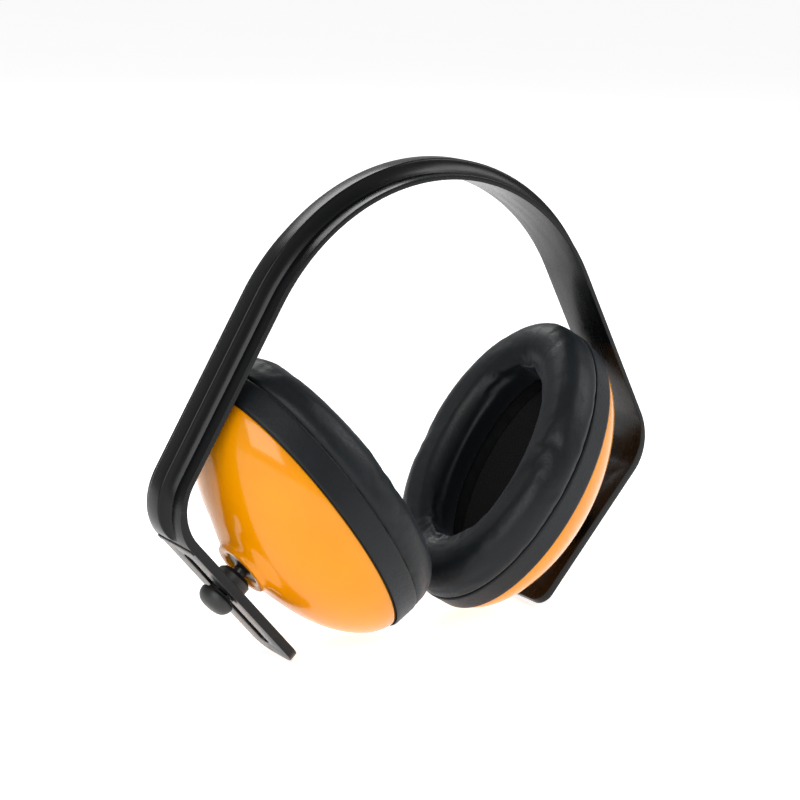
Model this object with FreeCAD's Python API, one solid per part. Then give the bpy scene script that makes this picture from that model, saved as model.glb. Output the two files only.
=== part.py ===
import FreeCAD, Part
import math
import os

V = FreeCAD.Vector

# Earmuff hearing protector, millimetres and degrees, +Z up, +Y towards the back of the head.
# The origin is the middle of the headband's inner face, where the band rests on the head.
# The right side is built and the left side is its mirror image in the YZ plane.

# Headband: one moulded strip that arches over the head and turns in at each end.
CROWN_RADIUS = 68.0
CROWN_HALF_ANGLE = 60.0
ARM_LENGTH = 58.0
KINK_RADIUS = 15.5
KINK_TURN = 71.5
TONGUE_LENGTH = 57.0
BAND_WIDTH = 20.0
FLANGE_THICKNESS = 1.6
RIB_WIDTH = 6.8
RIB_HEIGHT = 4.2
RIB_FILLET = 1.6
RIB_DRAFT = 0.3
TONGUE_THICKNESS = 3.0
TONGUE_CORNER = 5.0
RIDGE_HEIGHT = 0.5
RIDGE_LENGTH = 2.0

# Slot in each tongue, and the stud that slides in it.
SLOT_START = 6.0
SLOT_END_WALL = 6.5
SHANK_RADIUS = 1.7
KEY_WIDTH = 4.6
KEY_LENGTH = 7.0
STUD_AT = 25.0
SLIDE_CLEARANCE = 0.1
RUNNING_CLEARANCE = 0.06
COLLAR_RADIUS = 5.6
COLLAR_THICKNESS = 4.3
COLLAR_CHAMFER = 1.2
NECK_RADIUS = 2.3
KNOB_RADIUS = 5.8
KNOB_HEIGHT = 4.6
KNOB_STEM_RADIUS = 4.4
KNOB_STEM_HEIGHT = 1.0
KNOB_EDGE = 3.2
KNOB_BORE_DEPTH = 4.0

# Ball joint: the ball, the floating liner round it and the seat in the cup's boss.
BALL_RADIUS = 4.0
BALL_DEPTH = 9.5
LINER_RADIUS = 6.0
LINER_FRONT = 2.4
LINER_BACK = 3.2
SEAT_FRONT = 2.6
BOSS_RADIUS = 9.5
BOSS_FRONT = 3.5
BOSS_MOUTH_RADIUS = 7.0
BOSS_BACK = 6.5
RING_RADIUS = 7.5
RING_FRONT = 0.3
RING_BACK = 5.0
RING_HOLE_RADIUS = 4.2

# Cup: how it sits on the ball, its shell and the plate that closes it.
CUP_NOD = 6.0
CUP_LEAN = 6.0
CUP_HALF_LENGTH = 49.0
CUP_HALF_WIDTH = 31.0
SHELL_DEPTH = 24.5
CROWN_DEPTH = 2.0
SHELL_WALL = 2.2
DOME_RISE = 1.7
DOME_ROUND = 1.85
PLATE_THICKNESS = 1.5
PLATE_OPENING_HALF_LENGTH = 36.0
PLATE_OPENING_HALF_WIDTH = 19.0
ASSEMBLY_GAP = 0.1

# Cushion: carrier, foam and skin. The skin has a flat side strip, then swells to the sealing face.
CARRIER_THICKNESS = 2.0
SKIN_WALL = 0.8
STRIP_OVERHANG = 0.9
STRIP_FLARE = 0.4
STRIP_WIDTH = 8.5
PUFF_HEIGHT = 13.0
CREST_INSET = 8.0
CREST_WIDTH = 3.0
LIP_HALF_LENGTH = 31.0
LIP_HALF_WIDTH = 15.5
LIP_DEPTH = 8.0

# Sound-absorbing foam in the bottom of the cup.
PAD_THICKNESS = 8.0
PAD_GAP = 0.5

TONGUE_ANGLE = CROWN_HALF_ANGLE + KINK_TURN
RIB_TOP = FLANGE_THICKNESS + RIB_HEIGHT
SLOT_WIDTH = KEY_WIDTH + 2 * SLIDE_CLEARANCE
SLIDER_BORE = SHANK_RADIUS + RUNNING_CLEARANCE
RIM = SHELL_DEPTH - CROWN_DEPTH
CARRIER_BACK = RIM + PLATE_THICKNESS + CARRIER_THICKNESS
SEAM = RIM + STRIP_WIDTH
FACE = SEAM + PUFF_HEIGHT


def heading(angle):
    """Direction along the band, away from the crown, where it has turned by this angle."""
    return V(math.cos(math.radians(angle)), 0, -math.sin(math.radians(angle)))


def outward(angle):
    """Direction out of the band's outer face, where it has turned by this angle."""
    return V(math.sin(math.radians(angle)), 0, math.cos(math.radians(angle)))


CROWN_CENTRE = V(0, 0, -CROWN_RADIUS)
CROWN_END = CROWN_CENTRE + outward(CROWN_HALF_ANGLE) * CROWN_RADIUS
ARM_END = CROWN_END + heading(CROWN_HALF_ANGLE) * ARM_LENGTH
KINK_CENTRE = ARM_END - outward(CROWN_HALF_ANGLE) * KINK_RADIUS
KINK_END = KINK_CENTRE + outward(TONGUE_ANGLE) * KINK_RADIUS
BALL_CENTRE = KINK_END + heading(TONGUE_ANGLE) * STUD_AT - outward(TONGUE_ANGLE) * BALL_DEPTH


def mirrored(shape):
    return shape.mirror(V(0, 0, 0), V(1, 0, 0))


def flipped(point):
    return V(-point.x, point.y, point.z)


def oriented(up, inward, origin):
    """Placement that takes local X to up, local Z to inward and local Y to world Y."""
    turn = FreeCAD.Rotation(up, V(0, 1, 0), inward, "ZXY")
    return FreeCAD.Placement(origin, turn)


def on_stud(shape):
    """Place a shape built round the ball, local Z towards the head, along the tongue's normal."""
    shape.Placement = oriented(heading(TONGUE_ANGLE) * -1, outward(TONGUE_ANGLE) * -1, BALL_CENTRE)
    return shape


def on_cup(shape):
    """Place a shape built round the ball, local Z towards the head, with the cup's nod and lean."""
    angle = TONGUE_ANGLE - CUP_NOD
    lean = FreeCAD.Placement(V(0, 0, 0), FreeCAD.Rotation(V(0, 0, 1), CUP_LEAN))
    shape.Placement = oriented(heading(angle) * -1, outward(angle) * -1, BALL_CENTRE).multiply(lean)
    return shape


def revolved(points):
    """Solid of revolution about local Z from (radius, z) corners."""
    corners = [V(radius, 0, z) for radius, z in points]
    face = Part.Face(Part.makePolygon(corners + corners[:1]))
    return face.revolve(V(0, 0, 0), V(0, 0, 1), 360)


def zone(radius, low, high):
    """The slice of a ball between two planes square to local Z."""
    slab = Part.makeCylinder(2 * radius, high - low, V(0, 0, low))
    return Part.makeSphere(radius).common(slab)


def oval_loft(stations):
    """Solid through ovals given as (half length, half width, z)."""
    wires = [Part.Wire(Part.Ellipse(V(0, 0, z), a, b).toShape()) for a, b, z in stations]
    return Part.makeLoft(wires, True, False)


def oval_slab(half_length, half_width, low, high):
    wire = Part.Wire(Part.Ellipse(V(0, 0, low), half_length, half_width).toShape())
    return Part.Face(wire).extrude(V(0, 0, high - low))


def band_prism(start_height, middle_height, end_height, width):
    """Block over the kink whose height above the inner face changes along it."""
    middle_angle = (CROWN_HALF_ANGLE + TONGUE_ANGLE) / 2
    inner_middle = KINK_CENTRE + outward(middle_angle) * KINK_RADIUS
    outer_start = ARM_END + outward(CROWN_HALF_ANGLE) * start_height
    outer_middle = inner_middle + outward(middle_angle) * middle_height
    outer_end = KINK_END + outward(TONGUE_ANGLE) * end_height
    edges = [
        Part.Arc(ARM_END, inner_middle, KINK_END).toShape(),
        Part.makeLine(KINK_END, outer_end),
        Part.Arc(outer_end, outer_middle, outer_start).toShape(),
        Part.makeLine(outer_start, ARM_END),
    ]
    prism = Part.Face(Part.Wire(edges)).extrude(V(0, width, 0))
    prism.translate(V(0, -width / 2, 0))
    return prism


def arch():
    """Crown and both arms: a wide flange with a narrower rib on it, swept along the inner face."""
    start = flipped(ARM_END)
    rise = flipped(outward(CROWN_HALF_ANGLE))

    def at(across, height):
        return start + V(0, across, 0) + rise * height

    half, foot, top = BAND_WIDTH / 2, RIB_WIDTH / 2, RIB_WIDTH / 2 - RIB_DRAFT
    knee = FLANGE_THICKNESS + RIB_FILLET
    near = RIB_FILLET * (1 - math.sqrt(0.5))
    right = [at(half, 0), at(half, FLANGE_THICKNESS), at(foot + RIB_FILLET, FLANGE_THICKNESS)]
    left = [at(-foot - RIB_FILLET, FLANGE_THICKNESS), at(-half, FLANGE_THICKNESS), at(-half, 0)]
    edges = [
        Part.makePolygon(right),
        Part.Arc(right[-1], at(foot + near, FLANGE_THICKNESS + near), at(foot, knee)).toShape(),
        Part.makePolygon([at(foot, knee), at(top, RIB_TOP), at(-top, RIB_TOP), at(-foot, knee)]),
        Part.Arc(at(-foot, knee), at(-foot - near, FLANGE_THICKNESS + near), left[0]).toShape(),
        Part.makePolygon(left + right[:1]),
    ]
    section = Part.Wire(edges)
    path = Part.Wire([
        Part.makeLine(flipped(ARM_END), flipped(CROWN_END)),
        Part.Arc(flipped(CROWN_END), V(0, 0, 0), CROWN_END).toShape(),
        Part.makeLine(CROWN_END, ARM_END),
    ])
    sweep = Part.BRepOffsetAPI.MakePipeShell(path)
    sweep.setBiNormalMode(V(0, 1, 0))
    sweep.add(section)
    sweep.build()
    sweep.makeSolid()
    return sweep.shape()


def tongue():
    """Flat slotted end of the band, built with local X down the tongue and Z out of it."""
    plate = Part.makeBox(TONGUE_LENGTH, BAND_WIDTH, TONGUE_THICKNESS, V(0, -BAND_WIDTH / 2, 0))
    corners = [e for e in plate.Edges if e.BoundBox.ZLength > TONGUE_THICKNESS / 2 and e.CenterOfMass.x > 1]
    plate = plate.makeFillet(TONGUE_CORNER, corners)
    ridge = Part.makeBox(RIDGE_LENGTH, BAND_WIDTH, RIDGE_HEIGHT, V(0, -BAND_WIDTH / 2, TONGUE_THICKNESS))
    slot_end = TONGUE_LENGTH - SLOT_END_WALL
    radius = SLOT_WIDTH / 2
    depth = TONGUE_THICKNESS + 2
    slot = Part.makeBox(slot_end - SLOT_START - 2 * radius, SLOT_WIDTH, depth, V(SLOT_START + radius, -radius, -1))
    slot = slot.fuse(Part.makeCylinder(radius, depth, V(SLOT_START + radius, 0, -1)))
    slot = slot.fuse(Part.makeCylinder(radius, depth, V(slot_end - radius, 0, -1)))
    shape = plate.fuse(ridge).cut(slot)
    turn = FreeCAD.Rotation(heading(TONGUE_ANGLE), V(0, -1, 0), outward(TONGUE_ANGLE), "XZY")
    shape.Placement = FreeCAD.Placement(KINK_END, turn)
    return shape


def headband():
    middle_flange = (FLANGE_THICKNESS + TONGUE_THICKNESS) / 2
    middle_rib = RIB_TOP - RIDGE_HEIGHT
    end = band_prism(FLANGE_THICKNESS, middle_flange, TONGUE_THICKNESS, BAND_WIDTH)
    end = end.fuse(band_prism(RIB_TOP, middle_rib, TONGUE_THICKNESS + RIDGE_HEIGHT, RIB_WIDTH))
    end = end.fuse(tongue())
    return arch().fuse([end, mirrored(end)]).removeSplitter()


def knob():
    """Round-edged grip outside the tongue, pressed on the end of the stud's shank."""
    base = -(BALL_DEPTH + TONGUE_THICKNESS + SLIDE_CLEARANCE)
    top = base - KNOB_STEM_HEIGHT - KNOB_HEIGHT
    head = Part.makeCylinder(KNOB_RADIUS, KNOB_HEIGHT, V(0, 0, top))
    head = head.makeFillet(KNOB_EDGE, [e for e in head.Edges if abs(e.BoundBox.ZMax - top) < 0.01])
    stem = Part.makeCylinder(KNOB_STEM_RADIUS, KNOB_STEM_HEIGHT, V(0, 0, base - KNOB_STEM_HEIGHT))
    bore = Part.makeCylinder(SHANK_RADIUS, KNOB_BORE_DEPTH, V(0, 0, base - KNOB_BORE_DEPTH))
    return head.fuse(stem).cut(bore).removeSplitter()


def ball_stud():
    """Ball, neck and shank in one piece. The shank passes the slot and ends in the knob."""
    shoulder = -(BALL_DEPTH - SLIDE_CLEARANCE - COLLAR_THICKNESS - SLIDE_CLEARANCE)
    knob_base = BALL_DEPTH + TONGUE_THICKNESS + SLIDE_CLEARANCE
    shank_end = -(knob_base + KNOB_BORE_DEPTH)
    shape = Part.makeSphere(BALL_RADIUS)
    shape = shape.fuse(Part.makeCylinder(NECK_RADIUS, -shoulder, V(0, 0, shoulder)))
    shape = shape.fuse(Part.makeCylinder(SHANK_RADIUS, -shank_end, V(0, 0, shank_end)))
    return shape.removeSplitter()


def slider():
    """Collar under the tongue with a key that slides in the slot and a bore for the shank."""
    top = -(BALL_DEPTH - SLIDE_CLEARANCE)
    collar = revolved([(0, top), (COLLAR_RADIUS, top), (COLLAR_RADIUS, top + COLLAR_THICKNESS - COLLAR_CHAMFER),
                       (COLLAR_RADIUS - COLLAR_CHAMFER, top + COLLAR_THICKNESS), (0, top + COLLAR_THICKNESS)])
    key_top = -(BALL_DEPTH + TONGUE_THICKNESS)
    key = Part.makeBox(KEY_LENGTH, KEY_WIDTH, top - key_top, V(-KEY_LENGTH / 2, -KEY_WIDTH / 2, key_top))
    bore = Part.makeCylinder(SLIDER_BORE, -key_top, V(0, 0, key_top))
    return collar.fuse(key).cut(bore).removeSplitter()


def ball_liner():
    """Floating spherical bush between the stud's ball and the cup's seat."""
    ball = Part.makeSphere(BALL_RADIUS + RUNNING_CLEARANCE)
    return zone(LINER_RADIUS, -LINER_FRONT, LINER_BACK).cut(ball)


def dome_stations(half_length, half_width, rim, depth):
    """Ovals from the rim to the crown of the dome, whose flank leans in as it rises."""
    ovals = []
    for share in (0, 0.1, 0.25, 0.42, 0.6, 0.75, 0.87, 0.95, 0.985):
        shrink = (1 - share ** DOME_RISE) ** (1 / DOME_ROUND)
        ovals.append((half_length * shrink, half_width * shrink, rim - depth * share))
    return ovals


def inner_dome(gap, low):
    """Solid that fills the shell, this far inside its wall and above this height."""
    wall = SHELL_WALL + gap
    stations = dome_stations(CUP_HALF_LENGTH - wall, CUP_HALF_WIDTH - wall, RIM, SHELL_DEPTH - wall)
    above = Part.makeCylinder(2 * CUP_HALF_LENGTH, RIM - low, V(0, 0, low))
    return oval_loft(stations).common(above)


def cup_shell():
    """Oval dome with a round boss that carries the ball seat."""
    dome = oval_loft(dome_stations(CUP_HALF_LENGTH, CUP_HALF_WIDTH, RIM, SHELL_DEPTH))
    shape = dome.cut(inner_dome(0, 0))
    shape = shape.fuse(Part.makeCylinder(BOSS_RADIUS, BOSS_FRONT + BOSS_BACK, V(0, 0, -BOSS_FRONT)))
    seat = LINER_RADIUS + RUNNING_CLEARANCE
    throat = math.sqrt(seat ** 2 - SEAT_FRONT ** 2)
    shape = shape.cut(zone(seat, -SEAT_FRONT, RING_FRONT))
    mouth = revolved([(0, -BOSS_FRONT), (BOSS_MOUTH_RADIUS, -BOSS_FRONT), (throat, -SEAT_FRONT), (0, -SEAT_FRONT)])
    ring_bore = Part.makeCylinder(RING_RADIUS, BOSS_BACK - RING_FRONT, V(0, 0, RING_FRONT))
    return shape.cut(mouth).cut(ring_bore)


def retaining_ring():
    """Ring pressed into the boss from inside. It keeps the liner and ball in their seat."""
    ring = Part.makeCylinder(RING_RADIUS, RING_BACK - RING_FRONT, V(0, 0, RING_FRONT))
    ring = ring.cut(Part.makeSphere(LINER_RADIUS + RUNNING_CLEARANCE))
    return ring.cut(Part.makeCylinder(RING_HOLE_RADIUS, RING_BACK, V(0, 0, 0)))


def seal_plate():
    """Flat ring that closes the rim: a spigot inside the shell and a flange over its edge."""
    spigot_gap = SHELL_WALL + ASSEMBLY_GAP + 0.6
    spigot = oval_slab(CUP_HALF_LENGTH - spigot_gap, CUP_HALF_WIDTH - spigot_gap, RIM - PLATE_THICKNESS, RIM)
    flange = oval_slab(CUP_HALF_LENGTH, CUP_HALF_WIDTH, RIM, RIM + PLATE_THICKNESS)
    opening = oval_slab(PLATE_OPENING_HALF_LENGTH, PLATE_OPENING_HALF_WIDTH, RIM - PLATE_THICKNESS, FACE)
    return spigot.fuse(flange).cut(opening).removeSplitter()


def cushion_carrier():
    """Stiff ring under the cushion, which snaps to the plate."""
    ring = oval_slab(CUP_HALF_LENGTH, CUP_HALF_WIDTH, RIM + PLATE_THICKNESS, CARRIER_BACK)
    return ring.cut(oval_slab(PLATE_OPENING_HALF_LENGTH, PLATE_OPENING_HALF_WIDTH, RIM, FACE))


def cushion_form(inset, base):
    """Swollen ring with its skin side this far inside the cushion's surface."""
    half_length = CUP_HALF_LENGTH + STRIP_OVERHANG - inset
    half_width = CUP_HALF_WIDTH + STRIP_OVERHANG - inset
    face = FACE - inset
    outer = [(half_length, half_width, base), (half_length + STRIP_FLARE, half_width + STRIP_FLARE, SEAM)]
    for turn in (30, 60, 90):
        pull = CREST_INSET * (1 - math.cos(math.radians(turn)))
        rise = (face - SEAM) * math.sin(math.radians(turn))
        outer.append((half_length - pull, half_width - pull, SEAM + rise))
    crest_length = half_length - CREST_INSET - CREST_WIDTH + 2 * inset
    crest_width = half_width - CREST_INSET - CREST_WIDTH + 2 * inset
    lip_length, lip_width = LIP_HALF_LENGTH + inset, LIP_HALF_WIDTH + inset
    hole = [(PLATE_OPENING_HALF_LENGTH - STRIP_OVERHANG + inset,
             PLATE_OPENING_HALF_WIDTH - STRIP_OVERHANG + inset, base)]
    for turn in (0, 30, 60, 90):
        open_by = 1 - math.cos(math.radians(turn))
        rise = LIP_DEPTH * math.sin(math.radians(turn))
        hole.append((lip_length + (crest_length - lip_length) * open_by,
                     lip_width + (crest_width - lip_width) * open_by, face - LIP_DEPTH + rise))
    return oval_loft(outer).cut(oval_loft(hole))


def cushion_foam():
    return cushion_form(SKIN_WALL, CARRIER_BACK)


def cushion_skin():
    """Leatherette cover. Its side strip hangs over the carrier and the plate's edge."""
    cover = cushion_form(0, CARRIER_BACK).cut(cushion_foam())
    half_length = CUP_HALF_LENGTH + STRIP_OVERHANG
    half_width = CUP_HALF_WIDTH + STRIP_OVERHANG
    low = RIM + ASSEMBLY_GAP
    strip = oval_slab(half_length, half_width, low, CARRIER_BACK)
    strip = strip.cut(oval_slab(half_length - SKIN_WALL, half_width - SKIN_WALL, RIM, CARRIER_BACK + 1))
    return cover.fuse(strip).removeSplitter()


def ear_foam():
    """Sound-absorbing pad that lines the bottom of the cup."""
    back = RIM - PLATE_THICKNESS - PAD_GAP
    pad = inner_dome(PAD_GAP, back - PAD_THICKNESS)
    return pad.common(Part.makeCylinder(2 * CUP_HALF_LENGTH, PAD_THICKNESS, V(0, 0, back - PAD_THICKNESS)))


RIGHT_PIECES = {
    "knob": on_stud(knob()),
    "ball_stud": on_stud(ball_stud()),
    "slider": on_stud(slider()),
    "ball_liner": on_cup(ball_liner()),
    "cup_shell": on_cup(cup_shell()),
    "retaining_ring": on_cup(retaining_ring()),
    "seal_plate": on_cup(seal_plate()),
    "cushion_carrier": on_cup(cushion_carrier()),
    "cushion_foam": on_cup(cushion_foam()),
    "cushion_skin": on_cup(cushion_skin()),
    "ear_foam": on_cup(ear_foam()),
}

os.makedirs("parts", exist_ok=True)
headband().exportStep("parts/headband.step")
for name, piece in RIGHT_PIECES.items():
    piece.exportStep("parts/right_" + name + ".step")
    mirrored(piece).exportStep("parts/left_" + name + ".step")
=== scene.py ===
import math

import bmesh
import bpy
from mathutils import Matrix, Vector, noise


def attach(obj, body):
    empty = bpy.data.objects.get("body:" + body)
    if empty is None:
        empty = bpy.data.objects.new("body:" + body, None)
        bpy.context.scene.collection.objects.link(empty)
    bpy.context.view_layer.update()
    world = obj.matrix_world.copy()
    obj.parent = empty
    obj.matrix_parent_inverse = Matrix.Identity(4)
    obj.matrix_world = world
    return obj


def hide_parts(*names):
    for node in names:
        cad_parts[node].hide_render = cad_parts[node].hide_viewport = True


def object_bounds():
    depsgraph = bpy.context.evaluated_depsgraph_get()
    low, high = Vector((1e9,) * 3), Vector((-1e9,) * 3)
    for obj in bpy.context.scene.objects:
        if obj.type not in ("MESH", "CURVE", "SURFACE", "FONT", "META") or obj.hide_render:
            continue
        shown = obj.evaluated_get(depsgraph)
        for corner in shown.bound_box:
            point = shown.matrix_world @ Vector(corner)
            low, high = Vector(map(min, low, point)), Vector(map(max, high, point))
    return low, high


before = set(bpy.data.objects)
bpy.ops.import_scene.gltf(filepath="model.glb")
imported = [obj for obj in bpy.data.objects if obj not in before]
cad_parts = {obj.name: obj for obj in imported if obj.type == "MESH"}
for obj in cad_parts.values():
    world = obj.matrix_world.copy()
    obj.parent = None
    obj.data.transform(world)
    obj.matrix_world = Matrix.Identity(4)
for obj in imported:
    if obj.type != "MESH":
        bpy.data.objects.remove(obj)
cad_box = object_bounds()

MM = 0.001

# Headband: where its arch, arm, bend and tongue run, in the CAD part's own frame.
CROWN_RADIUS = 68 * MM
CROWN_ANGLE = math.radians(60)
ARM_LENGTH = 58 * MM
BEND_RADIUS = 15.5 * MM
BEND_ANGLE = math.radians(71.5)
TONGUE_ANGLE = CROWN_ANGLE + BEND_ANGLE
TONGUE_LENGTH = 57 * MM
BAND_WIDTH = 20 * MM
FLANGE = 1.6 * MM
RIB_TOP = 5.8 * MM
TONGUE_THICKNESS = 3 * MM
SLOT_START = 6 * MM
SLOT_END = 50.5 * MM
SLOT_WIDTH = 4.8 * MM
STUD_AT = 25 * MM
BALL_DEPTH = 9.5 * MM

# Cup: its ovals are (half length, half width, depth towards the head) round the ball joint.
CUP_LENGTH = 49 * MM
CUP_WIDTH = 31 * MM
SHELL_DEPTH = 24.5 * MM
RIM = 22.5 * MM
SEAM = 31 * MM
FACE = 44 * MM
CUP_NOD = math.radians(6)
CUP_LEAN = math.radians(6)
ROUND_SEGMENTS = 128


def heading(angle):
    return Vector((math.cos(angle), 0, -math.sin(angle)))


def outward(angle):
    return Vector((math.sin(angle), 0, math.cos(angle)))


crown_centre = Vector((0, 0, -CROWN_RADIUS))
arm_start = crown_centre + outward(CROWN_ANGLE) * CROWN_RADIUS
arm_end = arm_start + heading(CROWN_ANGLE) * ARM_LENGTH
bend_centre = arm_end - outward(CROWN_ANGLE) * BEND_RADIUS
tongue_start = bend_centre + outward(TONGUE_ANGLE) * BEND_RADIUS
ball_centre = tongue_start + heading(TONGUE_ANGLE) * STUD_AT - outward(TONGUE_ANGLE) * BALL_DEPTH


def frame_matrix(x_axis, z_axis, origin):
    """Matrix that takes local X and Z to these directions, and the local origin to this point."""
    y_axis = z_axis.cross(x_axis)
    turn = Matrix((x_axis, y_axis, z_axis)).transposed()
    return Matrix.Translation(origin) @ turn.to_4x4()


stud_matrix = frame_matrix(-heading(TONGUE_ANGLE), -outward(TONGUE_ANGLE), ball_centre)
cup_matrix = frame_matrix(-heading(TONGUE_ANGLE - CUP_NOD), -outward(TONGUE_ANGLE - CUP_NOD), ball_centre)
cup_matrix = cup_matrix @ Matrix.Rotation(CUP_LEAN, 4, "Z")
tongue_matrix = frame_matrix(heading(TONGUE_ANGLE), outward(TONGUE_ANGLE), tongue_start)


# ---------------------------------------------------------------- modelling helpers

def only(obj):
    """Make this the one selected, active object."""
    if bpy.context.mode != "OBJECT":
        bpy.ops.object.mode_set(mode="OBJECT")
    bpy.ops.object.select_all(action="DESELECT")
    obj.select_set(True)
    bpy.context.view_layer.objects.active = obj
    return obj


def start(name, mode="VERT"):
    """Name the primitive just added and open it in edit mode with nothing selected."""
    obj = bpy.context.object
    obj.name = name
    obj.data.name = name
    only(obj)
    bpy.ops.object.transform_apply(location=True, rotation=True, scale=True)
    bpy.ops.object.mode_set(mode="EDIT")
    bpy.ops.mesh.select_mode(type=mode)
    return obj


def done(obj):
    bpy.ops.object.mode_set(mode="OBJECT")
    return obj


def pick(obj, test, mode="VERT"):
    """Select the vertices, edges or faces whose middle passes the test."""
    bpy.ops.mesh.select_mode(type=mode)
    bpy.ops.mesh.select_all(action="DESELECT")
    mesh = bmesh.from_edit_mesh(obj.data)
    mesh.normal_update()
    chosen = 0
    if mode == "VERT":
        for v in mesh.verts:
            if test(v.co):
                v.select_set(True)
                chosen += 1
    elif mode == "EDGE":
        for e in mesh.edges:
            if test(e.verts[0].co, e.verts[1].co):
                e.select_set(True)
                chosen += 1
    else:
        for f in mesh.faces:
            if test(f.calc_center_median(), f.normal):
                f.select_set(True)
                chosen += 1
    mesh.select_flush_mode()
    bmesh.update_edit_mesh(obj.data)
    return chosen


def modify(obj, kind, **settings):
    """Add a modifier with these settings and apply it."""
    only(obj)
    modifier = obj.modifiers.new(kind.title(), kind)
    for key, value in settings.items():
        setattr(modifier, key, value)
    bpy.ops.object.modifier_apply(modifier=modifier.name)


def nudge(obj, move):
    """Move each vertex by what move(position) returns."""
    for v in obj.data.vertices:
        v.co += move(v.co.copy())
    obj.data.update()


def placed(obj, matrix):
    """Put the mesh where the matrix says, and leave the object at the origin."""
    obj.data.transform(matrix)
    obj.data.update()
    return obj


def recalculate(obj):
    only(obj)
    bpy.ops.object.mode_set(mode="EDIT")
    bpy.ops.mesh.select_all(action="SELECT")
    bpy.ops.mesh.remove_doubles(threshold=0.00001)
    bpy.ops.mesh.normals_make_consistent(inside=False)
    bpy.ops.object.mode_set(mode="OBJECT")


def smooth(obj, degrees=35):
    only(obj)
    bpy.ops.object.shade_smooth_by_angle(angle=math.radians(degrees))
    return obj


def joined(name, pieces):
    only(pieces[0])
    for piece in pieces[1:]:
        piece.select_set(True)
    bpy.ops.object.join()
    pieces[0].name = name
    pieces[0].data.name = name
    return pieces[0]


def both_sides(obj, stem):
    """Name this right-hand piece, and add its mirror image for the left."""
    obj.name = obj.data.name = "right_" + stem
    twin = obj.copy()
    twin.data = obj.data.copy()
    twin.name = twin.data.name = "left_" + stem
    bpy.context.scene.collection.objects.link(twin)
    twin.data.transform(Matrix.Scale(-1, 4, (1, 0, 0)))
    twin.data.flip_normals()
    twin.data.update()
    return {"right": obj, "left": twin}


def oval_skin(name, stations, segments=ROUND_SEGMENTS, close=True):
    """Start from a circle and extrude it from oval to oval, given as (half length, half width, depth)."""
    bpy.ops.object.select_all(action="DESELECT")
    bpy.ops.mesh.primitive_circle_add(vertices=segments, radius=1, location=(0, 0, 0))
    obj = start(name)
    length, width, depth = stations[0]
    bpy.ops.mesh.select_all(action="SELECT")
    bpy.ops.transform.resize(value=(length, width, 1), center_override=(0, 0, 0))
    bpy.ops.transform.translate(value=(0, 0, depth))
    for next_length, next_width, next_depth in stations[1:]:
        bpy.ops.mesh.extrude_region_move(
            TRANSFORM_OT_translate={"value": (0, 0, next_depth - depth)})
        bpy.ops.transform.resize(value=(next_length / length, next_width / width, 1),
                                 center_override=(0, 0, next_depth))
        length, width, depth = next_length, next_width, next_depth
    done(obj)
    if close:
        recalculate(obj)
    return obj


# ---------------------------------------------------------------- materials

def srgb(code):
    """A #RRGGBB colour as linear RGBA."""
    parts = [int(code[i:i + 2], 16) / 255 for i in (1, 3, 5)]
    return [p / 12.92 if p <= 0.04045 else ((p + 0.055) / 1.055) ** 2.4 for p in parts] + [1.0]


def node(tree, kind, links=(), **settings):
    """Add a node. Settings name its properties or, as in_NAME, its inputs; links are (socket, input) pairs."""
    made = tree.nodes.new(kind)
    for key, value in settings.items():
        if key.startswith("in_"):
            made.inputs[key[3:].replace("_", " ")].default_value = value
        else:
            setattr(made, key, value)
    for source, target in links:
        tree.links.new(source, made.inputs[target])
    return made


def new_material(name):
    material = bpy.data.materials.new(name)
    material.use_nodes = True
    tree = material.node_tree
    shader = tree.nodes["Principled BSDF"]
    where = node(tree, "ShaderNodeTexCoord").outputs["Object"]
    return material, tree, shader, where


def ramp(tree, source, low, high, dark, light):
    """Colour ramp from one colour to another between two values of the source."""
    made = node(tree, "ShaderNodeValToRGB", [(source, "Fac")])
    made.color_ramp.elements[0].position = low
    made.color_ramp.elements[0].color = dark
    made.color_ramp.elements[1].position = high
    made.color_ramp.elements[1].color = light
    return made.outputs["Color"]


def grey(value):
    return (value, value, value, 1.0)


def moulded_abs():
    """Injection-moulded ABS in glossy safety yellow: a polished mould leaves a mirror-like skin with
    faint long waves, a little light goes into the pigment, and handling leaves hair-fine dull patches."""
    material, tree, shader, where = new_material("glossy_yellow_abs")
    mottle = node(tree, "ShaderNodeTexNoise", [(where, "Vector")], in_Scale=38.0, in_Detail=3.0)
    tree.links.new(ramp(tree, mottle.outputs["Fac"], 0.3, 0.7, srgb("#E08A00"), srgb("#E69302")),
                   shader.inputs["Base Color"])
    # Dull patches from handling, about 12 mm across.
    patches = node(tree, "ShaderNodeTexNoise", [(where, "Vector")], in_Scale=85.0, in_Detail=5.0)
    gloss = ramp(tree, patches.outputs["Fac"], 0.35, 0.75, grey(0.10), grey(0.17))
    tree.links.new(gloss, shader.inputs["Roughness"])
    # Long waves of the mould's polish, about 9 mm, and the faint skin under them, about 0.8 mm.
    waves = node(tree, "ShaderNodeTexNoise", [(where, "Vector")], in_Scale=110.0, in_Detail=1.0)
    long_bump = node(tree, "ShaderNodeBump", [(waves.outputs["Fac"], "Height")],
                     in_Strength=0.25, in_Distance=0.00012)
    skin = node(tree, "ShaderNodeTexNoise", [(where, "Vector")], in_Scale=1250.0, in_Detail=2.0)
    fine_bump = node(tree, "ShaderNodeBump", [(skin.outputs["Fac"], "Height"), (long_bump.outputs["Normal"], "Normal")],
                     in_Strength=0.06, in_Distance=0.00002)
    tree.links.new(fine_bump.outputs["Normal"], shader.inputs["Normal"])
    shader.inputs["IOR"].default_value = 1.53
    shader.inputs["Specular IOR Level"].default_value = 0.36
    shader.inputs["Subsurface Weight"].default_value = 0.12
    shader.inputs["Subsurface Radius"].default_value = (0.0022, 0.0012, 0.0003)
    shader.inputs["Subsurface Scale"].default_value = 1.0
    return material


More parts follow.
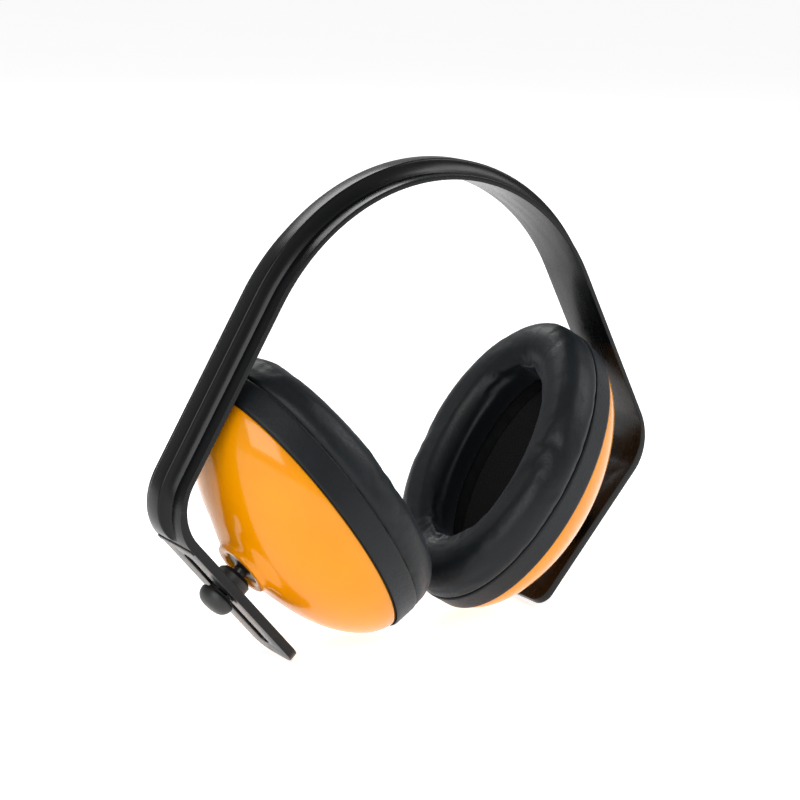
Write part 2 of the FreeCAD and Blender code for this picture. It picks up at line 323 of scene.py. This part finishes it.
def moulded_band():
    """Black polypropylene: a satin, slightly waxy skin with flow marks along the strip,
    fine scuffs that catch the light and edges rubbed a shade paler."""
    material, tree, shader, where = new_material("satin_black_polypropylene")
    wear = node(tree, "ShaderNodeTexNoise", [(where, "Vector")], in_Scale=260.0, in_Detail=6.0, in_Roughness=0.65)
    edge = node(tree, "ShaderNodeNewGeometry").outputs["Pointiness"]
    rubbed = ramp(tree, edge, 0.51, 0.62, grey(0.0), grey(1.0))
    amount = node(tree, "ShaderNodeMath", [(rubbed, 0), (wear.outputs["Fac"], 1)], operation="MULTIPLY")
    tint = node(tree, "ShaderNodeMix", [(amount.outputs[0], "Factor")], data_type="RGBA")
    tint.inputs["A"].default_value = srgb("#060708")
    tint.inputs["B"].default_value = srgb("#202224")
    tree.links.new(tint.outputs["Result"], shader.inputs["Base Color"])
    # Flow marks: streaks a few millimetres wide and several centimetres long.
    stretch = node(tree, "ShaderNodeMapping", [(where, "Vector")])
    stretch.inputs["Scale"].default_value = (0.35, 1.6, 0.35)
    flow = node(tree, "ShaderNodeTexNoise", [(stretch.outputs["Vector"], "Vector")], in_Scale=190.0, in_Detail=4.0)
    tree.links.new(ramp(tree, flow.outputs["Fac"], 0.3, 0.72, grey(0.22), grey(0.33)), shader.inputs["Roughness"])
    skin = node(tree, "ShaderNodeTexNoise", [(where, "Vector")], in_Scale=1500.0, in_Detail=3.0)
    fine = node(tree, "ShaderNodeBump", [(skin.outputs["Fac"], "Height")], in_Strength=0.12, in_Distance=0.00003)
    sink = node(tree, "ShaderNodeBump", [(flow.outputs["Fac"], "Height"), (fine.outputs["Normal"], "Normal")],
                in_Strength=0.15, in_Distance=0.00008)
    tree.links.new(sink.outputs["Normal"], shader.inputs["Normal"])
    shader.inputs["IOR"].default_value = 1.49
    shader.inputs["Specular IOR Level"].default_value = 0.26
    return material


def moulded_grip(name, shade, rough):
    """Black nylon from an eroded mould: dull and very finely grained, so highlights spread."""
    material, tree, shader, where = new_material(name)
    grime = node(tree, "ShaderNodeTexNoise", [(where, "Vector")], in_Scale=300.0, in_Detail=4.0)
    tree.links.new(ramp(tree, grime.outputs["Fac"], 0.3, 0.7, srgb(shade[0]), srgb(shade[1])),
                   shader.inputs["Base Color"])
    tree.links.new(ramp(tree, grime.outputs["Fac"], 0.3, 0.7, grey(rough), grey(rough + 0.1)),
                   shader.inputs["Roughness"])
    # Spark-eroded grain, drawn at 0.35 mm where the real one is about 0.1 mm, so that it shows.
    grain = node(tree, "ShaderNodeTexVoronoi", [(where, "Vector")], in_Scale=2800.0)
    bump = node(tree, "ShaderNodeBump", [(grain.outputs["Distance"], "Height")], in_Strength=0.25, in_Distance=0.00004)
    tree.links.new(bump.outputs["Normal"], shader.inputs["Normal"])
    shader.inputs["IOR"].default_value = 1.53
    return material


def vinyl_leatherette(name, grain_strength):
    """PVC leatherette: soft blue-black vinyl with an embossed pebble grain about 0.7 mm across,
    a greasy mid sheen on the crowns of the pebbles and duller creases."""
    material, tree, shader, where = new_material(name)
    pebble = node(tree, "ShaderNodeTexVoronoi", [(where, "Vector")], in_Scale=1150.0, in_Randomness=0.9)
    pebble.feature = "SMOOTH_F1"
    pebble.inputs["Smoothness"].default_value = 0.6
    # Broad tone shifts where the skin is stretched over the foam, about 25 mm across.
    stretch = node(tree, "ShaderNodeTexNoise", [(where, "Vector")], in_Scale=42.0, in_Detail=3.0)
    tree.links.new(ramp(tree, stretch.outputs["Fac"], 0.32, 0.7, srgb("#0A0E10"), srgb("#101519")),
                   shader.inputs["Base Color"])
    mixed = node(tree, "ShaderNodeMath", [(pebble.outputs["Distance"], 0), (stretch.outputs["Fac"], 1)],
                 operation="MULTIPLY_ADD")
    mixed.inputs[2].default_value = 0.12
    tree.links.new(ramp(tree, mixed.outputs[0], 0.1, 0.6, grey(0.36), grey(0.52)), shader.inputs["Roughness"])
    soft = node(tree, "ShaderNodeTexNoise", [(where, "Vector")], in_Scale=330.0, in_Detail=2.0)
    creases = node(tree, "ShaderNodeBump", [(soft.outputs["Fac"], "Height")], in_Strength=0.25, in_Distance=0.00025)
    bump = node(tree, "ShaderNodeBump", [(pebble.outputs["Distance"], "Height"), (creases.outputs["Normal"], "Normal")],
                in_Strength=grain_strength, in_Distance=0.00006, invert=True)
    tree.links.new(bump.outputs["Normal"], shader.inputs["Normal"])
    shader.inputs["IOR"].default_value = 1.52
    shader.inputs["Specular IOR Level"].default_value = 0.24
    shader.inputs["Sheen Weight"].default_value = 0.05
    shader.inputs["Sheen Roughness"].default_value = 0.45
    shader.inputs["Sheen Tint"].default_value = (0.75, 0.85, 1.0, 1.0)
    return material


def open_cell_foam():
    """Charcoal polyurethane foam: a matt sponge with open cells about 0.8 mm across, whose colour is darkened towards
    the pits with painted shade.
    """
    material, tree, shader, where = new_material("charcoal_polyurethane_foam")
    cells = node(tree, "ShaderNodeTexVoronoi", [(where, "Vector")], in_Scale=1200.0)
    # Painted shade: the colour goes from #050506 to #010101 where the cell bump sinks, as shade would fall into the
    # pits.
    tree.links.new(ramp(tree, cells.outputs["Distance"], 0.05, 0.6, srgb("#050506"), srgb("#010101")),
                   shader.inputs["Base Color"])
    bump = node(tree, "ShaderNodeBump", [(cells.outputs["Distance"], "Height")],
                in_Strength=0.9, in_Distance=0.0005, invert=True)
    tree.links.new(bump.outputs["Normal"], shader.inputs["Normal"])
    shader.inputs["Roughness"].default_value = 1.0
    return material


yellow_abs = moulded_abs()
black_band = moulded_band()
black_grip = moulded_grip("grained_black_nylon", ("#0F1111", "#161818"), 0.42)
black_acetal = moulded_grip("smooth_black_acetal", ("#101112", "#16181A"), 0.25)
inner_plastic = moulded_grip("plain_black_polystyrene", ("#121314", "#191A1C"), 0.4)
leatherette = vinyl_leatherette("black_vinyl_leatherette", 0.45)
foam = open_cell_foam()


def finish_piece(obj, material, slot, body, *nodes):
    """Give a piece its material, seat it on its body and let it stand for its CAD nodes; the slot is not used."""
    obj.data.materials.clear()
    obj.data.materials.append(material)
    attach(obj, body)
    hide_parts(*nodes)
    return obj


# ---------------------------------------------------------------- headband

def swept_strip(name, low, high, half_width):
    """Section for a strip at the crown's middle, from a plane stood upright; run_along_band sweeps it to the bend's end
    on the right.
    """
    bpy.ops.object.select_all(action="DESELECT")
    bpy.ops.mesh.primitive_plane_add(size=2, rotation=(0, math.pi / 2, 0))
    obj = start(name, "FACE")
    bpy.ops.mesh.select_all(action="SELECT")
    bpy.ops.transform.resize(value=(1, half_width, (high - low) / 2), center_override=(0, 0, 0))
    bpy.ops.transform.translate(value=(0, 0, (low + high) / 2))
    return obj


def run_along_band(obj):
    """Sweep the selected section round the crown, down the arm and round the bend."""
    bpy.ops.mesh.spin(steps=40, angle=-CROWN_ANGLE, center=crown_centre, axis=(0, 1, 0))
    for _ in range(6):
        bpy.ops.mesh.extrude_region_move(TRANSFORM_OT_translate={"value": heading(CROWN_ANGLE) * ARM_LENGTH / 6})
    bpy.ops.mesh.spin(steps=36, angle=-BEND_ANGLE, center=bend_centre, axis=(0, 1, 0))


def bend_share(position):
    """How far round the bend a point is, from 0 at the arm to 1 at the tongue, and its height off the inner face."""
    arm = position - bend_centre
    angle = math.atan2(arm.x, arm.z)
    height = math.hypot(arm.x, arm.z) - BEND_RADIUS
    return (angle - CROWN_ANGLE) / BEND_ANGLE, height


def flange():
    """Wide inner strip, which thickens round the bend into the slotted tongue."""
    obj = swept_strip("flange", 0, FLANGE, BAND_WIDTH / 2)
    run_along_band(obj)
    bpy.ops.mesh.extrude_region_move(TRANSFORM_OT_translate={"value": heading(TONGUE_ANGLE) * TONGUE_LENGTH})
    done(obj)
    far = tongue_matrix.inverted()

    def thicken(p):
        share, height = bend_share(p)
        along = far @ p
        if along.x > -0.0001 and abs(along.z) < 0.02 and p.z < tongue_start.z + 0.001:
            return outward(TONGUE_ANGLE) * (TONGUE_THICKNESS - FLANGE) if along.z > FLANGE / 2 else Vector()
        if 0 < share <= 1 and height > FLANGE / 2 and p.z < arm_end.z + 0.02:
            eased = share * share * (3 - 2 * share)
            direction = (p - bend_centre) * Vector((1, 0, 1))
            return direction.normalized() * (TONGUE_THICKNESS - FLANGE) * eased
        return Vector()

    nudge(obj, thicken)
    only(obj)
    bpy.ops.object.mode_set(mode="EDIT")
    # Round the tongue's two end corners.
    pick(obj, lambda a, b: (far @ a).x > TONGUE_LENGTH - 0.001 and (far @ b).x > TONGUE_LENGTH - 0.001
         and abs(a.y - b.y) < 0.0001, "EDGE")
    bpy.ops.mesh.bevel(offset=5 * MM, segments=9, affect="EDGES")
    pick(obj, lambda c, n: abs(c.x) < 0.00001 and abs(n.x) > 0.9, "FACE")
    bpy.ops.mesh.delete(type="FACE")
    done(obj)
    recalculate(obj)
    return obj


def slot_cutter():
    """Long block with round ends, the shape of the slot."""
    bpy.ops.object.select_all(action="DESELECT")
    bpy.ops.mesh.primitive_cube_add(size=1)
    obj = start("slot_cutter", "EDGE")
    bpy.ops.mesh.select_all(action="SELECT")
    bpy.ops.transform.resize(value=(SLOT_END - SLOT_START, SLOT_WIDTH, 12 * MM), center_override=(0, 0, 0))
    bpy.ops.transform.translate(value=((SLOT_START + SLOT_END) / 2, 0, 0))
    pick(obj, lambda a, b: abs(a.z - b.z) > 0.001, "EDGE")
    bpy.ops.mesh.bevel(offset=SLOT_WIDTH / 2 - 0.00001, segments=10, affect="EDGES")
    done(obj)
    placed(obj, tongue_matrix)
    recalculate(obj)
    return obj


def rib():
    """Narrow outer rib with a filleted foot, which sinks into the tongue round the bend."""
    foot, top, knee = 3.4 * MM, 3.1 * MM, FLANGE + 1.7 * MM
    low = FLANGE - 0.25 * MM
    obj = swept_strip("rib", low, RIB_TOP, foot)
    bpy.ops.mesh.bisect(plane_co=(0, 0, knee), plane_no=(0, 0, 1))
    pick(obj, lambda p: p.z > RIB_TOP - 0.0001)
    bpy.ops.transform.resize(value=(1, top / foot, 1), center_override=(0, 0, RIB_TOP))
    pick(obj, lambda p: p.z < low + 0.0001)
    bpy.ops.transform.resize(value=(1, (foot + 1.7 * MM) / foot, 1), center_override=(0, 0, low))
    pick(obj, lambda p: abs(p.z - knee) < 0.0001)
    bpy.ops.mesh.bevel(offset=1.5 * MM, segments=5, affect="VERTICES")
    pick(obj, lambda p: p.z > RIB_TOP - 0.0001)
    bpy.ops.mesh.bevel(offset=0.6 * MM, segments=4, affect="VERTICES")
    pick(obj, lambda c, n: True, "FACE")
    run_along_band(obj)
    done(obj)

    def sink(p):
        share, height = bend_share(p)
        if not 0 < share <= 1.001 or p.z > arm_end.z + 0.02 or height < 0:
            return Vector()
        base = FLANGE + (TONGUE_THICKNESS - FLANGE) * share * share * (3 - 2 * share)
        keep = 1 - max(0.0, share) ** 2.6
        fall = max(0.0, (share - 0.86) / 0.14)
        keep = max(keep * (1 - fall), -0.15 * fall)
        new_height = base - 0.3 * MM + (height - low) * keep
        direction = ((p - bend_centre) * Vector((1, 0, 1))).normalized()
        return direction * (new_height - height)

    nudge(obj, sink)
    only(obj)
    bpy.ops.object.mode_set(mode="EDIT")
    pick(obj, lambda c, n: abs(c.x) < 0.00001 and abs(n.x) > 0.9, "FACE")
    bpy.ops.mesh.delete(type="FACE")
    done(obj)
    recalculate(obj)
    return obj


def headband():
    strip = flange()
    cutter = slot_cutter()
    modify(strip, "BOOLEAN", operation="DIFFERENCE", object=cutter, solver="EXACT")
    bpy.data.objects.remove(cutter)
    modify(strip, "BEVEL", width=0.5 * MM, segments=3, limit_method="ANGLE", angle_limit=math.radians(40))
    stem = rib()
    # Low rounded bar across the tongue where the rib has died away.
    bpy.ops.object.select_all(action="DESELECT")
    bpy.ops.mesh.primitive_cube_add(size=1)
    bar = start("bar", "EDGE")
    bpy.ops.mesh.select_all(action="SELECT")
    bpy.ops.transform.resize(value=(2 * MM, BAND_WIDTH - 0.6 * MM, 2 * MM), center_override=(0, 0, 0))
    bpy.ops.transform.translate(value=(1 * MM, 0, TONGUE_THICKNESS - 0.55 * MM))
    bpy.ops.mesh.bevel(offset=0.45 * MM, segments=3, affect="EDGES")
    done(bar)
    placed(bar, tongue_matrix)
    band = joined("headband_shell", [strip, stem, bar])
    modify(band, "MIRROR", use_axis=(True, False, False), use_mirror_merge=True, merge_threshold=0.00002)
    smooth(band, 38)
    return band


band = headband()
finish_piece(band, black_band, "band_plastic", "headband", "headband")


# ---------------------------------------------------------------- cups

def dome_depth(shrink, depth):
    """How far the dome has risen where its ovals have shrunk to this share of the rim."""
    return depth * (1 - shrink ** 1.85) ** (1 / 1.7)


def cup_shell():
    """Glossy oval dome with a round boss: rim, flank, crown, boss, ball mouth and back down inside."""
    stations = [(CUP_LENGTH - 0.5 * MM, CUP_WIDTH - 0.5 * MM, RIM), (CUP_LENGTH - 0.12 * MM, CUP_WIDTH - 0.12 * MM, RIM - 0.12 * MM),
                (CUP_LENGTH, CUP_WIDTH, RIM - 0.5 * MM)]
    steps = 30
    for i in range(1, steps):
        shrink = math.cos(math.radians(90) * i / steps)
        if shrink * CUP_WIDTH < 12.2 * MM:
            break
        stations.append((CUP_LENGTH * shrink, CUP_WIDTH * shrink, RIM - dome_depth(shrink, SHELL_DEPTH)))
    # The dome turns from an oval to the round foot of the boss, whose lip stands 1.5 mm proud.
    stations += [(16.4 * MM, 11.7 * MM, -0.2 * MM), (14.0 * MM, 11.2 * MM, -0.75 * MM), (12.0 * MM, 10.7 * MM, -1.25 * MM),
                 (10.7 * MM, 10.2 * MM, -1.65 * MM), (10.0 * MM, 9.85 * MM, -2.05 * MM), (9.6 * MM, 9.6 * MM, -2.6 * MM),
                 (9.45 * MM, 9.45 * MM, -3.05 * MM), (9.2 * MM, 9.2 * MM, -3.38 * MM), (8.85 * MM, 8.85 * MM, -3.5 * MM),
                 (8.5 * MM, 8.5 * MM, -3.5 * MM), (7.3 * MM, 7.3 * MM, -3.5 * MM), (7.0 * MM, 7.0 * MM, -3.4 * MM),
                 (5.5 * MM, 5.5 * MM, -2.6 * MM), (6.06 * MM, 6.06 * MM, 0.3 * MM), (7.5 * MM, 7.5 * MM, 0.4 * MM),
                 (7.5 * MM, 7.5 * MM, 6.4 * MM), (9.3 * MM, 9.3 * MM, 6.4 * MM), (9.6 * MM, 9.6 * MM, 4.0 * MM)]
    wall = 2.2 * MM
    for i in range(steps - 6, 0, -2):
        shrink = math.cos(math.radians(90) * i / steps)
        if shrink * CUP_WIDTH > 11.5 * MM:
            stations.append(((CUP_LENGTH - wall) * shrink, (CUP_WIDTH - wall) * shrink,
                             RIM - dome_depth(shrink, SHELL_DEPTH - wall)))
    stations += [(CUP_LENGTH - wall, CUP_WIDTH - wall, RIM - 0.2 * MM), (CUP_LENGTH - wall + 0.2 * MM, CUP_WIDTH - wall + 0.2 * MM, RIM),
                 stations[0]]
    obj = oval_skin("cup_shell", stations)
    modify(obj, "SUBSURF", levels=1, render_levels=1)
    placed(obj, cup_matrix)
    return smooth(obj, 40)


# ---------------------------------------------------------------- ear cushions

OVERHANG = 0.9 * MM


def cushion_profile():
    """Stations from the strip's lower edge, out over the swollen ring and down the ear opening."""
    length, width = CUP_LENGTH + OVERHANG, CUP_WIDTH + OVERHANG
    strip = [(length - 0.7 * MM, width - 0.7 * MM, RIM + 0.35 * MM), (length - 0.25 * MM, width - 0.25 * MM, RIM + 0.12 * MM),
             (length, width, RIM + 0.45 * MM)]
    rows = 7
    for i in range(1, rows + 1):
        flare = 0.45 * MM * i / rows
        strip.append((length + flare, width + flare, RIM + 0.45 * MM + (SEAM - RIM - 0.9 * MM) * i / rows))
    # Welded seam: the strip's edge turns in to a narrow valley, and the swollen ring starts inside it.
    strip += [(length + 0.35 * MM, width + 0.35 * MM, SEAM - 0.12 * MM), (length - 0.2 * MM, width - 0.2 * MM, SEAM + 0.05 * MM),
              (length - 0.55 * MM, width - 0.55 * MM, SEAM + 0.1 * MM)]
    puff = []
    inset, crest = 8.0 * MM, 3.0 * MM
    for i in range(1, 13):
        turn = math.radians(90) * i / 12
        bulge = 0.75 * MM * math.sin(2 * turn) - 0.3 * MM * math.cos(turn)
        pull = inset * (1 - math.cos(turn)) - bulge
        puff.append((length - pull, width - pull, SEAM + (FACE - SEAM) * math.sin(turn)))
    lip_length, lip_width, lip_depth = 31 * MM, 15.5 * MM, 8 * MM
    crest_length, crest_width = length - inset - crest, width - inset - crest
    puff.append(((length - inset + crest_length) / 2, (width - inset + crest_width) / 2, FACE + 0.1 * MM))
    for i in range(10, -1, -1):
        turn = math.radians(90) * i / 10
        open_by = 1 - math.cos(turn)
        puff.append((lip_length + (crest_length - lip_length) * open_by, lip_width + (crest_width - lip_width) * open_by,
                     FACE - lip_depth + lip_depth * math.sin(turn)))
    inside = []
    for i in range(1, 7):
        t = i / 6
        inside.append((lip_length + 4 * MM * t * t, lip_width + 2.6 * MM * t * t, FACE - lip_depth - 9.7 * MM * t))
    return strip, puff, inside


def cushion():
    """Leatherette cover over foam. The swollen ring is blown up as cloth, so it puckers along its seam."""
    strip, puff, inside = cushion_profile()
    back = [(40 * MM, 23 * MM, 26.2 * MM), (CUP_LENGTH + OVERHANG - 1.6 * MM, CUP_WIDTH + OVERHANG - 1.6 * MM, 26.2 * MM),
            (CUP_LENGTH + OVERHANG - 0.8 * MM, CUP_WIDTH + OVERHANG - 0.8 * MM, 25.6 * MM), strip[0]]
    obj = oval_skin("cushion", strip + puff + inside + back, segments=160)
    hold = obj.vertex_groups.new(name="held")
    seam_in = CUP_LENGTH + OVERHANG - 0.4 * MM
    for v in obj.data.vertices:
        on_puff = v.co.z > SEAM + 0.3 * MM
        deep = math.hypot(v.co.x / (31.6 * MM), v.co.y / (16.1 * MM)) < 1 and v.co.z < FACE - 7 * MM
        if not on_puff or deep:
            hold.add([v.index], 1.0, "REPLACE")
    blow_up(obj)
    pucker(obj)
    modify(obj, "SUBSURF", levels=1, render_levels=1)
    placed(obj, cup_matrix)
    return smooth(obj, 50)


def blow_up(obj):
    """Cloth under pressure, cut slightly too long so that it gathers, with its movement capped."""
    rest = [v.co.copy() for v in obj.data.vertices]
    only(obj)
    cloth = obj.modifiers.new("Cloth", "CLOTH")
    settings = cloth.settings
    settings.quality = 6
    settings.mass = 0.05
    settings.tension_stiffness = settings.compression_stiffness = 12
    settings.shear_stiffness = 4
    settings.bending_stiffness = 0.004
    settings.use_pressure = True
    settings.uniform_pressure_force = 4
    settings.shrink_min = -0.05
    settings.vertex_group_mass = "held"
    settings.effector_weights.gravity = 0
    cloth.collision_settings.use_collision = False
    cloth.point_cache.frame_start, cloth.point_cache.frame_end = 1, 20
    scene = bpy.context.scene
    for step in range(1, 21):
        scene.frame_set(step)
    bpy.ops.object.modifier_apply(modifier=cloth.name)
    scene.frame_set(1)
    cap = 1.2 * MM
    for v, was in zip(obj.data.vertices, rest):
        moved = v.co - was
        if moved.length > cap:
            moved *= cap / moved.length
        moved.z = min(moved.z, 0.35 * MM)
        v.co = was + moved
    obj.data.update()


def pucker(obj):
    """Soft folds across the ring: deepest where the cover turns tightly at the cup's two ends."""
    def fold(p):
        if p.z < SEAM + 0.3 * MM:
            return Vector()
        rise = min(1.0, (p.z - SEAM) / (6 * MM))
        angle = math.atan2(p.y / CUP_WIDTH, p.x / CUP_LENGTH)
        ends = 0.25 + 0.75 * abs(math.cos(angle)) ** 3
        outer = math.hypot(p.x / CUP_LENGTH, p.y / CUP_WIDTH)
        ring = Vector((math.cos(angle), math.sin(angle), 0))
        wave = noise.noise(Vector((ring.x * 9, ring.y * 9, p.z * 60 + outer * 3)))
        sharp = noise.noise(Vector((ring.x * 22 + 5, ring.y * 22, p.z * 45 + outer * 5)))
        depth = (0.22 * wave + 0.35 * min(0.0, sharp)) * ends * rise * MM
        lift = Vector((p.x / CUP_LENGTH ** 2, p.y / CUP_WIDTH ** 2, 0)).normalized()
        if outer < 0.72:
            lift = -lift
        return (lift * 0.7 + Vector((0, 0, 0.5))) * depth
    nudge(obj, fold)


def ear_foam():
    """Sponge pad in the bottom of the cup, with a softly dished face."""
    stations = [(0.4 * MM, 0.3 * MM, 20.0 * MM), (12 * MM, 7 * MM, 20.1 * MM), (24 * MM, 14 * MM, 20.2 * MM),
                (33 * MM, 19 * MM, 20.3 * MM), (38.5 * MM, 22.5 * MM, 20.2 * MM), (40.5 * MM, 24 * MM, 19.6 * MM),
                (41 * MM, 24.5 * MM, 18.6 * MM), (40.4 * MM, 24.2 * MM, 15 * MM), (38.6 * MM, 22.8 * MM, 13.2 * MM),
                (34 * MM, 20 * MM, 12.8 * MM), (14 * MM, 9 * MM, 12.8 * MM), (0.4 * MM, 0.3 * MM, 12.8 * MM)]
    obj = oval_skin("ear_foam", stations, segments=96, close=False)
    only(obj)
    bpy.ops.object.mode_set(mode="EDIT")
    bpy.ops.mesh.select_mode(type="EDGE")
    bpy.ops.mesh.select_all(action="DESELECT")
    bpy.ops.mesh.select_non_manifold()
    bpy.ops.mesh.fill_holes(sides=0)
    bpy.ops.object.mode_set(mode="OBJECT")
    recalculate(obj)
    modify(obj, "SUBSURF", levels=1, render_levels=1)
    nudge(obj, lambda p: Vector((0, 0, 0.35 * MM * noise.noise(p * 260) if p.z > 18 * MM else 0)))
    placed(obj, cup_matrix)
    return smooth(obj, 60)


def grip_knob():
    """Mushroom grip: short stem, undercut rim and a low round crown with a small flat in its middle."""
    base = -12.6 * MM
    stations = [(1.8, 0.0), (4.0, 0.0), (4.35, -0.12), (4.4, -0.4), (4.4, -0.85), (4.7, -1.0), (5.3, -1.02), (5.65, -1.2),
                (5.8, -1.6), (5.8, -2.2), (5.66, -3.0), (5.3, -3.8), (4.7, -4.55), (3.9, -5.1), (3.0, -5.42), (2.0, -5.56),
                (1.0, -5.6), (0.15, -5.6)]
    rings = [(r * MM, r * MM, base + z * MM) for r, z in stations]
    obj = oval_skin("knob", rings, segments=64, close=False)
    only(obj)
    bpy.ops.object.mode_set(mode="EDIT")
    bpy.ops.mesh.select_all(action="DESELECT")
    bpy.ops.mesh.select_non_manifold()
    bpy.ops.mesh.fill_holes(sides=0)
    bpy.ops.object.mode_set(mode="OBJECT")
    recalculate(obj)
    modify(obj, "SUBSURF", levels=1, render_levels=1)
    placed(obj, stud_matrix)
    return smooth(obj, 45)


shells = both_sides(cup_shell(), "dome")
cushions = both_sides(cushion(), "ear_cushion")
foams = both_sides(ear_foam(), "sound_foam")
knobs = both_sides(grip_knob(), "grip_knob")
for side in ("right", "left"):
    cup, stud = side + "_cup", side + "_stud"
    finish_piece(shells[side], yellow_abs, "cup_plastic", cup, side + "_cup_shell")
    finish_piece(cushions[side], leatherette, "cushion_skin", cup, side + "_cushion_skin", side + "_cushion_foam")
    finish_piece(foams[side], foam, "ear_foam", cup, side + "_ear_foam")
    finish_piece(knobs[side], black_grip, "knob_plastic", stud, side + "_knob")
    kept = {"slider": black_grip, "ball_stud": black_acetal, "ball_liner": black_acetal,
            "retaining_ring": inner_plastic, "seal_plate": inner_plastic, "cushion_carrier": inner_plastic}
    for stem, material in kept.items():
        cad_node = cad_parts[side + "_" + stem]
        cad_node.data.materials.clear()
        cad_node.data.materials.append(material)


# ---------------------------------------------------------------- floor, light and camera

def studio_floor():
    """Pale matt floor under the lowest point of the object."""
    bpy.ops.object.select_all(action="DESELECT")
    bpy.ops.mesh.primitive_plane_add(size=60)
    floor = bpy.context.object
    floor.name = "studio_floor"
    floor.data.transform(Matrix.Translation((0, 0, cad_box[0][2] - 0.0005)))
    material, tree, shader, where = new_material("white_paper_floor")
    tone = node(tree, "ShaderNodeTexNoise", [(where, "Vector")], in_Scale=3.0)
    tree.links.new(ramp(tree, tone.outputs["Fac"], 0.3, 0.7, grey(0.86), grey(0.88)), shader.inputs["Base Color"])
    shader.inputs["Roughness"].default_value = 0.95
    shader.inputs["Specular IOR Level"].default_value = 0.1
    shader.inputs["Emission Color"].default_value = grey(1.0)
    shader.inputs["Emission Strength"].default_value = 0.7
    floor.data.materials.append(material)


def softbox(name, place, target, width, height, power):
    light = bpy.data.lights.new(name, "AREA")
    light.shape = "RECTANGLE"
    light.size, light.size_y, light.energy = width, height, power
    lamp = bpy.data.objects.new(name, light)
    bpy.context.scene.collection.objects.link(lamp)
    lamp.location = place
    lamp.rotation_euler = (Vector(target) - Vector(place)).to_track_quat("-Z", "Y").to_euler()
    return lamp


def studio_light():
    world = bpy.data.worlds.new("studio")
    bpy.context.scene.world = world
    world.use_nodes = True
    tree = world.node_tree
    backdrop = tree.nodes["Background"]
    where = node(tree, "ShaderNodeTexCoord").outputs["Generated"]
    split = node(tree, "ShaderNodeSeparateXYZ", [(where, "Vector")])
    tree.links.new(ramp(tree, split.outputs["Z"], 0.0, 0.9, grey(0.80), grey(0.35)), backdrop.inputs["Color"])
    backdrop.inputs["Strength"].default_value = 0.6
    middle = (0, 0, -0.08)
    softbox("key_softbox", (-0.95, -0.75, 0.55), middle, 0.9, 0.9, 10.5)
    softbox("fill_softbox", (0.9, -0.6, 0.7), middle, 0.4, 0.8, 6)
    softbox("back_softbox", (0.1, 0.9, 0.9), middle, 0.9, 0.4, 8)


def camera():
    """Three-quarter view from the front left, a little above the cups, with a slight roll."""
    azimuth, elevation, roll = 0.6542, 0.2433, 0.0432
    distance, lens = 0.60195, 87.3
    target = Vector((-0.01199, -0.00643, -0.06838))
    back = Vector((-math.sin(azimuth) * math.cos(elevation), -math.cos(azimuth) * math.cos(elevation), math.sin(elevation)))
    level = Vector((math.cos(azimuth), -math.sin(azimuth), 0))
    upright = back.cross(level)
    across = level * math.cos(roll) + upright * math.sin(roll)
    lens_data = bpy.data.cameras.new("camera")
    lens_data.lens = lens
    lens_data.clip_start = 0.01
    eye = bpy.data.objects.new("camera", lens_data)
    bpy.context.scene.collection.objects.link(eye)
    eye.matrix_world = frame_matrix(across, back, target + back * distance)
    bpy.context.scene.camera = eye


studio_floor()
studio_light()
camera()
bpy.context.scene.view_settings.view_transform = "Standard"
